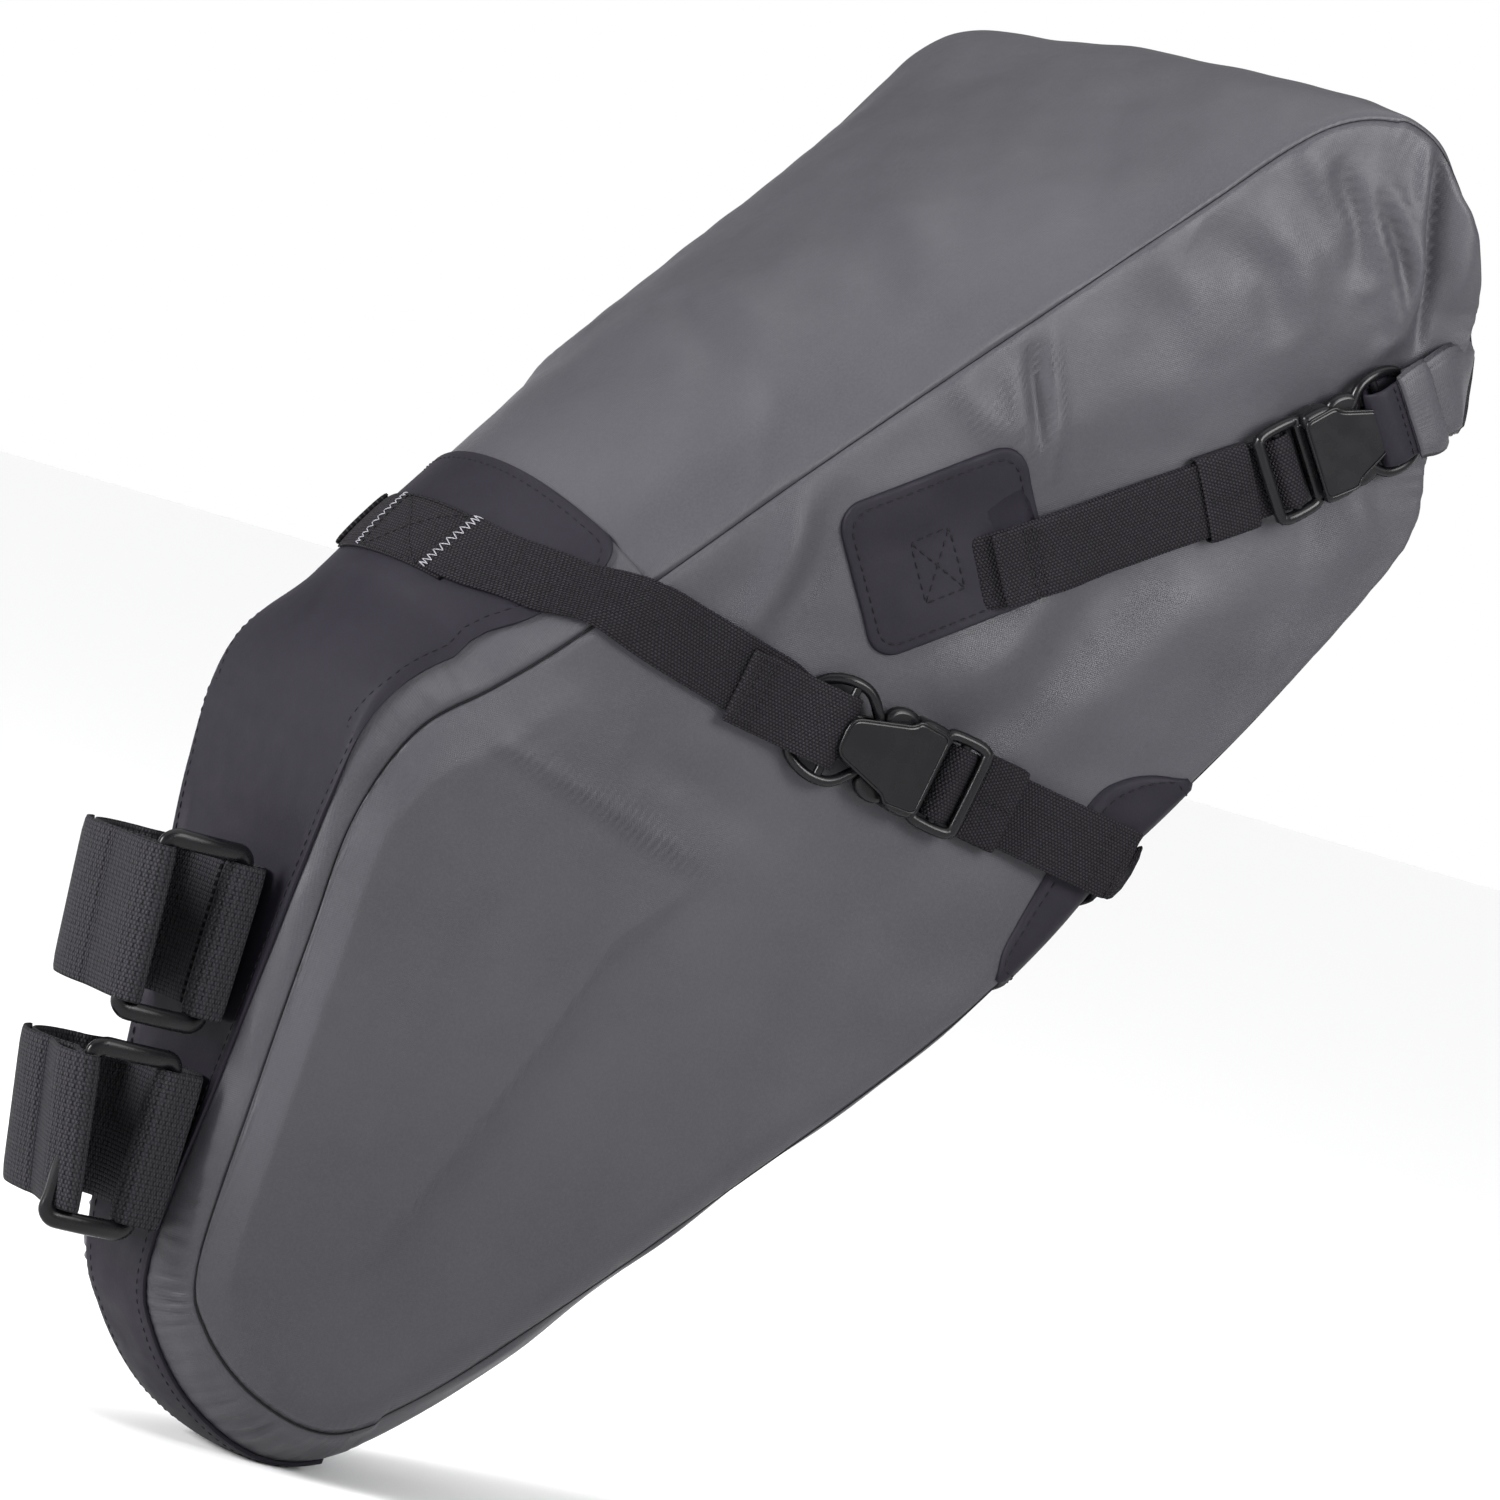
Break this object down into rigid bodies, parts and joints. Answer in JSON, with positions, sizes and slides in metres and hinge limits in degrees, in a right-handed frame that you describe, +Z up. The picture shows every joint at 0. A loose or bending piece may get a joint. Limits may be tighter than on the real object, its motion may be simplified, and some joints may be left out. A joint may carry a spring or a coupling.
{
  "type": "roll-top saddle bag",
  "caption": "Tapered roll-top bag that hangs behind a bicycle saddle, held to the seatpost by hook-and-loop straps and to the rails by a buckled strap.",
  "frame": {"origin": "on the flat seatpost panel at the front of the bag, midway between the two hook-and-loop strap loops, on the bag's centre plane", "axes": "+Z up along the seatpost, +X rearwards to the roll closure, -Y is the bag's left side"},
  "size_m": [0.3293, 0.2166, 0.4222],
  "materials": {
    "shell": "satin coated",
    "black": "matte rubberised",
    "webbing": "woven",
    "hook": "woven hook and loop",
    "plastic": "satin moulded",
    "liner": "matte"
  },
  "bodies": {
    "bag": {"seatpost_panel": "black", "saddle_panel": "black", "nose_bottom_panel": "black", "top_panel": "shell", "bottom_panel": "shell", "bottom_patch": "black", "seatpost_strap_upper": "hook", "seatpost_ring_upper": "plastic", "seatpost_tab_upper": "hook", "seatpost_strap_lower": "hook", "seatpost_ring_lower": "plastic", "seatpost_tab_lower": "hook", "saddle_anchor": "webbing", "nose_strip_left": "shell", "nose_strip_right": "shell", "side_panel_left": "shell", "side_panel_right": "shell", "nose_stiffener_left": "liner", "nose_stiffener_right": "liner", "side_patch_left": "black", "side_patch_right": "black", "saddle_strap_left": "webbing", "saddle_strap_right": "webbing", "saddle_female_left": "plastic", "saddle_female_right": "plastic"},
    "roll": {"roll_closure": "shell", "rear_flap": "shell", "rear_panel": "black"},
    "roll_end_left": {"roll_wing_left": "shell", "roll_tab_left": "webbing", "side_female_left": "plastic"},
    "roll_end_right": {"roll_wing_right": "shell", "roll_tab_right": "webbing", "side_female_right": "plastic"},
    "saddle_male_left": {"saddle_male_left": "plastic", "lower_strap_left": "webbing", "lower_tail_left": "webbing", "lower_keeper_left": "webbing"},
    "saddle_latch_a_left": {"saddle_latch_a_left": "plastic"},
    "saddle_latch_b_left": {"saddle_latch_b_left": "plastic"},
    "saddle_male_right": {"saddle_male_right": "plastic", "lower_strap_right": "webbing", "lower_tail_right": "webbing", "lower_keeper_right": "webbing"},
    "saddle_latch_a_right": {"saddle_latch_a_right": "plastic"},
    "saddle_latch_b_right": {"saddle_latch_b_right": "plastic"},
    "side_male_left": {"side_male_left": "plastic", "side_strap_left": "webbing", "side_tail_left": "webbing", "side_keeper_left": "webbing"},
    "side_latch_a_left": {"side_latch_a_left": "plastic"},
    "side_latch_b_left": {"side_latch_b_left": "plastic"},
    "side_male_right": {"side_male_right": "plastic", "side_strap_right": "webbing", "side_tail_right": "webbing", "side_keeper_right": "webbing"},
    "side_latch_a_right": {"side_latch_a_right": "plastic"},
    "side_latch_b_right": {"side_latch_b_right": "plastic"},
    "seatpost_tail_upper": {"seatpost_tail_upper": "hook"},
    "seatpost_tail_lower": {"seatpost_tail_lower": "hook"}
  },
  "joints": [
    {"name": "roll_top", "type": "slide", "parent": "bag", "child": "roll", "axis": [0.7547, 0, 0.6561], "range_m": [0, 0.075]},
    {"name": "roll_end_left_slide", "type": "slide", "parent": "roll", "child": "roll_end_left", "axis": [0, -1, 0], "range_m": [0, 0.0155]},
    {"name": "roll_end_right_slide", "type": "slide", "parent": "roll", "child": "roll_end_right", "axis": [0, 1, 0], "range_m": [0, 0.0155]},
    {"name": "saddle_unclip_left", "type": "slide", "parent": "bag", "child": "saddle_male_left", "axis": [0.9767, -0.1648, -0.1373], "range_m": [0, 0.016]},
    {"name": "saddle_latch_a_left_squeeze", "type": "hinge", "parent": "saddle_male_left", "child": "saddle_latch_a_left", "pos_m": [0.15021, -0.07134, 0.12784], "axis": [-0.1766, -0.9811, -0.0785], "range_deg": [0, 9], "stiffness_Nm_per_rad": 0.3},
    {"name": "saddle_latch_b_left_squeeze", "type": "hinge", "parent": "saddle_male_left", "child": "saddle_latch_b_left", "pos_m": [0.14843, -0.06987, 0.11343], "axis": [0.1766, 0.9811, 0.0785], "range_deg": [0, 9], "stiffness_Nm_per_rad": 0.3},
    {"name": "saddle_unclip_right", "type": "slide", "parent": "bag", "child": "saddle_male_right", "axis": [0.9767, 0.1648, -0.1373], "range_m": [0, 0.016]},
    {"name": "saddle_latch_a_right_squeeze", "type": "hinge", "parent": "saddle_male_right", "child": "saddle_latch_a_right", "pos_m": [0.15021, 0.07134, 0.12784], "axis": [0.1766, -0.9811, 0.0785], "range_deg": [0, 9], "stiffness_Nm_per_rad": 0.3},
    {"name": "saddle_latch_b_right_squeeze", "type": "hinge", "parent": "saddle_male_right", "child": "saddle_latch_b_right", "pos_m": [0.14843, 0.06987, 0.11343], "axis": [-0.1766, 0.9811, -0.0785], "range_deg": [0, 9], "stiffness_Nm_per_rad": 0.3},
    {"name": "side_unclip_left", "type": "slide", "parent": "bag", "child": "side_male_left", "axis": [-0.7417, 0.1851, -0.6447], "range_m": [0, 0.016]},
    {"name": "side_latch_a_left_squeeze", "type": "hinge", "parent": "side_male_left", "child": "side_latch_a_left", "pos_m": [0.22926, -0.09316, 0.22267], "axis": [-0.1766, -0.9811, -0.0785], "range_deg": [0, 9], "stiffness_Nm_per_rad": 0.3},
    {"name": "side_latch_b_left_squeeze", "type": "hinge", "parent": "side_male_left", "child": "side_latch_b_left", "pos_m": [0.21982, -0.09235, 0.23377], "axis": [0.1766, 0.9811, 0.0785], "range_deg": [0, 9], "stiffness_Nm_per_rad": 0.3},
    {"name": "side_unclip_right", "type": "slide", "parent": "bag", "child": "side_male_right", "axis": [-0.7417, -0.1851, -0.6447], "range_m": [0, 0.016]},
    {"name": "side_latch_a_right_squeeze", "type": "hinge", "parent": "side_male_right", "child": "side_latch_a_right", "pos_m": [0.22926, 0.09316, 0.22267], "axis": [0.1766, -0.9811, 0.0785], "range_deg": [0, 9], "stiffness_Nm_per_rad": 0.3},
    {"name": "side_latch_b_right_squeeze", "type": "hinge", "parent": "side_male_right", "child": "side_latch_b_right", "pos_m": [0.21982, 0.09235, 0.23377], "axis": [-0.1766, 0.9811, -0.0785], "range_deg": [0, 9], "stiffness_Nm_per_rad": 0.3},
    {"name": "seatpost_peel_upper", "type": "hinge", "parent": "bag", "child": "seatpost_tail_upper", "pos_m": [-0.033, -0.0249, 0.027], "axis": [0, 0, 1], "range_deg": [0, 100]},
    {"name": "seatpost_peel_lower", "type": "hinge", "parent": "bag", "child": "seatpost_tail_lower", "pos_m": [-0.033, -0.0249, -0.027], "axis": [0, 0, 1], "range_deg": [0, 100]}
  ],
  "couplings": [
    {"joint": "roll_end_left_slide", "follows": "roll_top", "ratio": 0.18833},
    {"joint": "roll_end_right_slide", "follows": "roll_top", "ratio": 0.18833},
    {"joint": "saddle_latch_b_left_squeeze", "follows": "saddle_latch_a_left_squeeze", "ratio": 1},
    {"joint": "saddle_latch_b_right_squeeze", "follows": "saddle_latch_a_right_squeeze", "ratio": 1},
    {"joint": "side_latch_b_left_squeeze", "follows": "side_latch_a_left_squeeze", "ratio": 1},
    {"joint": "side_latch_b_right_squeeze", "follows": "side_latch_a_right_squeeze", "ratio": 1}
  ]
}
